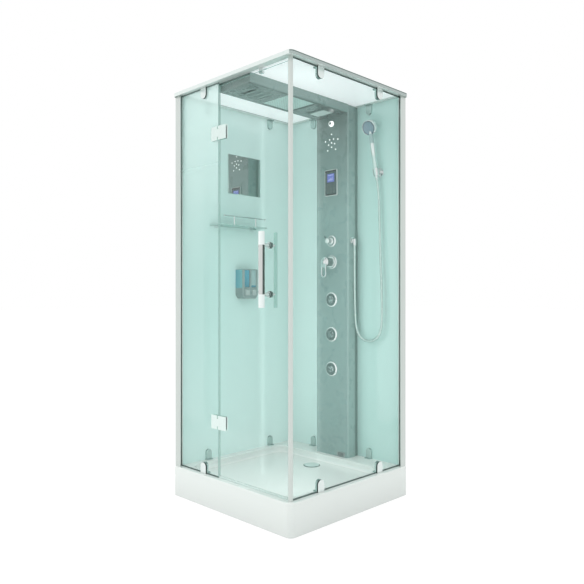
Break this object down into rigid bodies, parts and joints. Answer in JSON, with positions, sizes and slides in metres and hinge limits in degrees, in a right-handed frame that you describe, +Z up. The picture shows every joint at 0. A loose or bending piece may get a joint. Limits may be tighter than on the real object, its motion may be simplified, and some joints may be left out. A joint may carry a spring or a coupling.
{
  "type": "steam shower cabin",
  "caption": "Square corner steam shower cabin: glass walls, hinged door, tray, roof, shower column with mixer and jets, rain plate, hand shower, shelf, mirror and soap dispenser.",
  "frame": {"origin": "the floor under the middle of the shower tray, at the face of its centre foot", "axes": "+Z up; -Y out through the door; +X out through the fixed side pane; the two back walls meet towards -X and +Y"},
  "size_m": [0.916, 0.943, 2.201],
  "materials": {
    "tray_acrylic": "gloss white acrylic shell",
    "galvanised_steel": "galvanised steel of frame and feet",
    "trap_plastic": "plain white drain plastic",
    "wall_glass": "glass painted pale green on its back",
    "aluminium": "satin aluminium profiles",
    "roof_plastic": "white translucent roof panel",
    "clear_glass": "clear toughened glass, faintly green",
    "chrome": "polished chrome",
    "gasket_rubber": "dark grey gasket",
    "seal_plastic": "clear-grey seal strips",
    "column_lacquer": "grey lacquer of column and console",
    "chassis_plastic": "dark chassis",
    "outlet_plastic": "grey steam outlet",
    "boiler_steel": "plain steel boiler casing",
    "valve_brass": "cast brass valve",
    "pipe_plastic": "white water pipe",
    "speaker_black": "black speaker",
    "panel_plastic": "grey panel frame",
    "panel_glass": "dark glass with a lit blue display",
    "nozzle_chrome": "jet ball, satin chrome",
    "hose_metal": "spiral metal hose, silver",
    "mirror_silver": "silvered glass with ground edge",
    "dispenser_grey": "grey dispenser housing",
    "tank_blue": "translucent blue tanks",
    "grille_plastic": "grey grille",
    "lamp_plastic": "opal lamp cover",
    "fan_black": "black fan frame and rotor",
    "handle_chrome": "polished handle with dark grip bands"
  },
  "bodies": {
    "cabin": {"shower_tray": "tray_acrylic", "tray_frame": "galvanised_steel", "leveling_feet": "galvanised_steel", "drain_trap": "trap_plastic", "left_back_wall": "wall_glass", "right_back_wall": "wall_glass", "wall_profiles": "aluminium", "corner_post": "aluminium", "roof_panel": "roof_plastic", "roof_frame": "aluminium", "front_fixed_pane": "clear_glass", "side_pane": "clear_glass", "pane_gaskets": "gasket_rubber", "glass_clips": "chrome", "door_stop": "chrome", "hinge_fixed_leaves": "chrome", "hinge_pins": "chrome", "column_housing": "column_lacquer", "column_back": "chassis_plastic", "steam_outlet": "outlet_plastic", "steam_generator": "boiler_steel", "mixer_valve": "valve_brass", "supply_pipes": "pipe_plastic", "speaker": "speaker_black", "speaker_studs": "chrome", "top_nozzle": "chrome", "control_panel": "panel_plastic", "panel_glass": "panel_glass", "column_rosettes": "chrome", "hose_elbow": "chrome", "handset_holder": "chrome", "shower_hose": "hose_metal", "mirror": "mirror_silver", "shelf_glass": "clear_glass", "shelf_fittings": "chrome", "dispenser_housing": "dispenser_grey", "dispenser_tanks": "tank_blue", "console_housing": "column_lacquer", "rain_shower_plate": "chrome", "fan_grille": "grille_plastic", "fan_housing": "fan_black", "lamp_lens": "lamp_plastic"},
    "door": {"door_glass": "clear_glass", "hinge_door_leaves": "chrome", "outer_handle": "handle_chrome", "inner_handle": "handle_chrome", "handle_standoffs": "chrome", "door_seals": "seal_plastic"},
    "mixer_hub": {"mixer_spindle": "chrome"},
    "mixer_handle": {"mixer_lever": "chrome"},
    "diverter": {"diverter_knob": "chrome"},
    "jet_upper": {"jet_nozzle_top": "nozzle_chrome"},
    "jet_centre": {"jet_nozzle_middle": "nozzle_chrome"},
    "jet_lower": {"jet_nozzle_bottom": "nozzle_chrome"},
    "cradle": {"handset_cradle": "chrome"},
    "hand_shower": {"handset": "chrome"},
    "soap_lever_left": {"dispenser_lever_left": "dispenser_grey"},
    "soap_lever_right": {"dispenser_lever_right": "dispenser_grey"},
    "drain_lid": {"drain_cover": "chrome"},
    "fan_wheel": {"fan_rotor": "fan_black"}
  },
  "joints": [
    {"name": "door_hinge", "type": "hinge", "parent": "cabin", "child": "door", "pos_m": [-0.098, -0.418, 1.186], "axis": [0, 0, -1], "range_deg": [0, 90]},
    {"name": "mixer_turn", "type": "hinge", "parent": "cabin", "child": "mixer_hub", "pos_m": [0, 0.341, 1.289], "axis": [0, -1, 0], "range_deg": [-45, 45]},
    {"name": "mixer_lift", "type": "hinge", "parent": "mixer_hub", "child": "mixer_handle", "pos_m": [0, 0.295, 1.289], "axis": [-1, 0, 0], "range_deg": [0, 25]},
    {"name": "diverter_turn", "type": "hinge", "parent": "cabin", "child": "diverter", "pos_m": [0, 0.341, 1.412], "axis": [0, -1, 0], "range_deg": [-90, 90]},
    {"name": "jet_upper_tilt", "type": "hinge", "parent": "cabin", "child": "jet_upper", "pos_m": [0, 0.347, 1.0695], "axis": [1, 0, 0], "range_deg": [-12, 12]},
    {"name": "jet_centre_tilt", "type": "hinge", "parent": "cabin", "child": "jet_centre", "pos_m": [0, 0.347, 0.866], "axis": [1, 0, 0], "range_deg": [-12, 12]},
    {"name": "jet_lower_tilt", "type": "hinge", "parent": "cabin", "child": "jet_lower", "pos_m": [0, 0.347, 0.6635], "axis": [1, 0, 0], "range_deg": [-12, 12]},
    {"name": "cradle_tilt", "type": "hinge", "parent": "cabin", "child": "cradle", "pos_m": [0.281, 0.421, 1.789], "axis": [0.9945, 0, 0.1045], "range_deg": [-5, 20], "deforming": ["shower_hose"]},
    {"name": "handset_lift", "type": "slide", "parent": "cradle", "child": "hand_shower", "axis": [-0.1042, -0.0819, 0.9912], "range_m": [0, 0.025], "deforming": ["shower_hose"]},
    {"name": "soap_lever_left_push", "type": "slide", "parent": "cabin", "child": "soap_lever_left", "axis": [-1, 0, 0], "range_m": [0, 0.008], "stiffness_N_per_m": 200, "springref_m": -0.002},
    {"name": "soap_lever_right_push", "type": "slide", "parent": "cabin", "child": "soap_lever_right", "axis": [-1, 0, 0], "range_m": [0, 0.008], "stiffness_N_per_m": 200, "springref_m": -0.002},
    {"name": "drain_cover_lift", "type": "slide", "parent": "cabin", "child": "drain_lid", "axis": [0, 0, 1], "range_m": [0, 0.04]},
    {"name": "fan_spin", "type": "hinge", "parent": "cabin", "child": "fan_wheel", "pos_m": [0, -0.259, 2.165], "axis": [0, 0, 1], "continuous": true}
  ]
}
